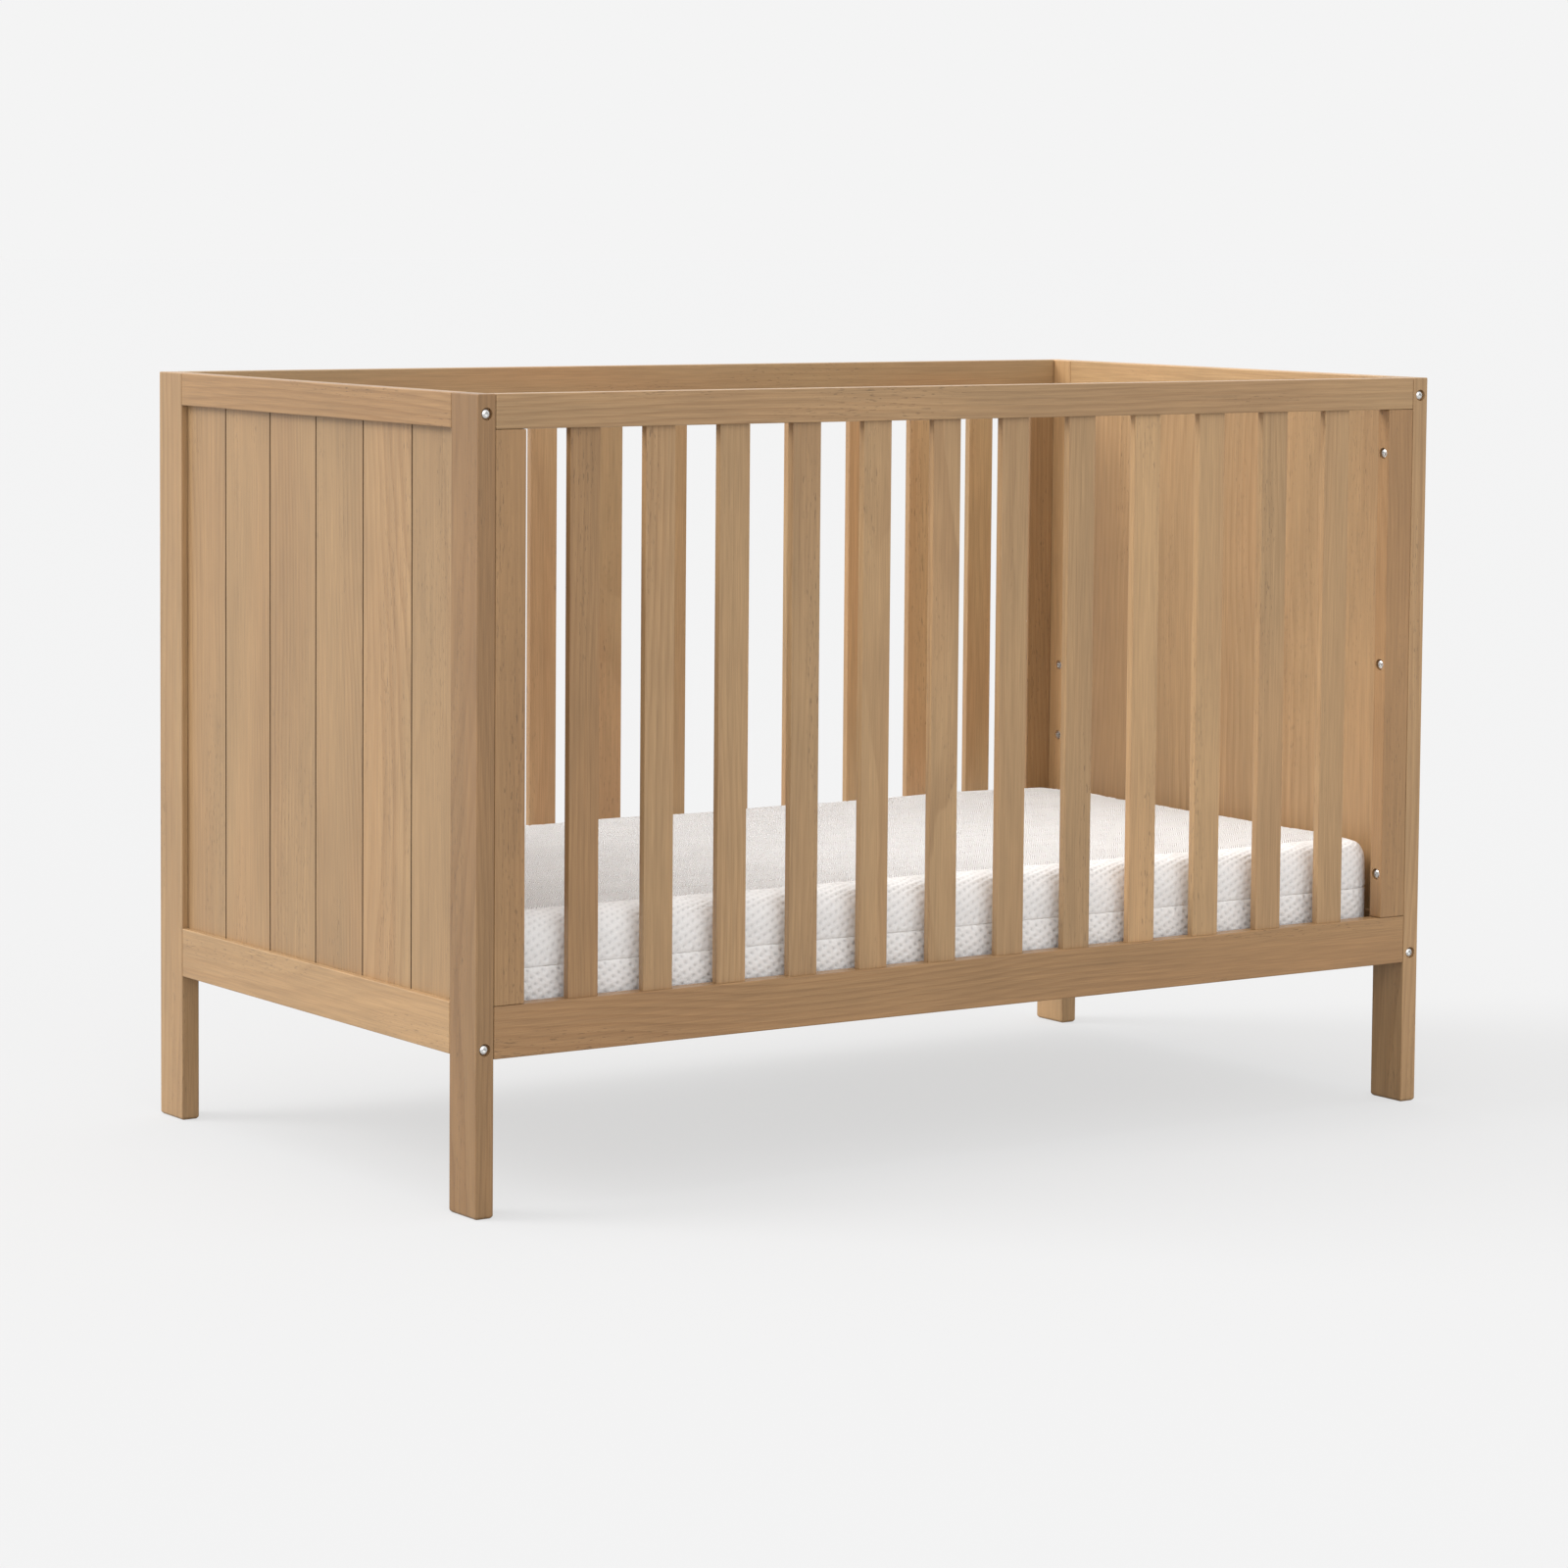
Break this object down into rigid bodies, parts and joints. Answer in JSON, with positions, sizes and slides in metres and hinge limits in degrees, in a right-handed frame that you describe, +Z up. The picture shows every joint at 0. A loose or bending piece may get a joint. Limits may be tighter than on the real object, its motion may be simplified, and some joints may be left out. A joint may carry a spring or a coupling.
{
  "type": "baby crib",
  "caption": "Rectangular wooden baby crib with slatted long sides, solid planked end panels, a height-adjustable mattress support and a knit-covered mattress.",
  "frame": {"origin": "centre of the footprint on the floor, midway between the four feet", "axes": "+X along the crib to the right-hand end seen from the front, +Y from the front side to the back side, +Z up"},
  "size_m": [1.38, 0.756, 0.914],
  "materials": {
    "wood": "satin clear lacquer over a light brown stain, fine streaky grain",
    "plywood": "sanded plain plywood",
    "steel": "bright zinc plate",
    "knit": "matte white stretch knit with a pitted side band"
  },
  "bodies": {
    "frame": {"end_panel_left": "wood", "end_panel_right": "wood", "end_rail_bottom_left": "wood", "end_rail_bottom_right": "wood", "end_rail_top_left": "wood", "end_rail_top_right": "wood", "post_back_left": "wood", "post_back_right": "wood", "post_bolt_back_left_bottom": "steel", "post_bolt_back_left_top": "steel", "post_bolt_back_right_bottom": "steel", "post_bolt_back_right_top": "steel", "post_bolt_front_left_bottom": "steel", "post_bolt_front_left_top": "steel", "post_bolt_front_right_bottom": "steel", "post_bolt_front_right_top": "steel", "post_front_left": "wood", "post_front_right": "wood", "side_rail_bottom_back": "wood", "side_rail_bottom_front": "wood", "side_rail_top_back": "wood", "side_rail_top_front": "wood", "slat_back_01": "wood", "slat_back_02": "wood", "slat_back_03": "wood", "slat_back_04": "wood", "slat_back_05": "wood", "slat_back_06": "wood", "slat_back_07": "wood", "slat_back_08": "wood", "slat_back_09": "wood", "slat_back_10": "wood", "slat_back_11": "wood", "slat_back_12": "wood", "slat_front_01": "wood", "slat_front_02": "wood", "slat_front_03": "wood", "slat_front_04": "wood", "slat_front_05": "wood", "slat_front_06": "wood", "slat_front_07": "wood", "slat_front_08": "wood", "slat_front_09": "wood", "slat_front_10": "wood", "slat_front_11": "wood", "slat_front_12": "wood", "stile_back_left": "wood", "stile_back_right": "wood", "stile_front_left": "wood", "stile_front_right": "wood"},
    "support": {"support_angle_left": "steel", "support_angle_right": "steel", "support_bearer_back": "wood", "support_bearer_front": "wood", "support_bolt_back_left": "steel", "support_bolt_back_right": "steel", "support_bolt_front_left": "steel", "support_bolt_front_right": "steel", "support_deck": "plywood"},
    "mattress": {"mattress": "knit"}
  },
  "joints": [
    {"name": "support_height", "type": "slide", "parent": "frame", "child": "support", "axis": [0, 0, 1], "range_m": [0, 0.2895]},
    {"name": "mattress_lift", "type": "slide", "parent": "support", "child": "mattress", "axis": [0, 0, 1], "range_m": [0, 0.72]}
  ]
}
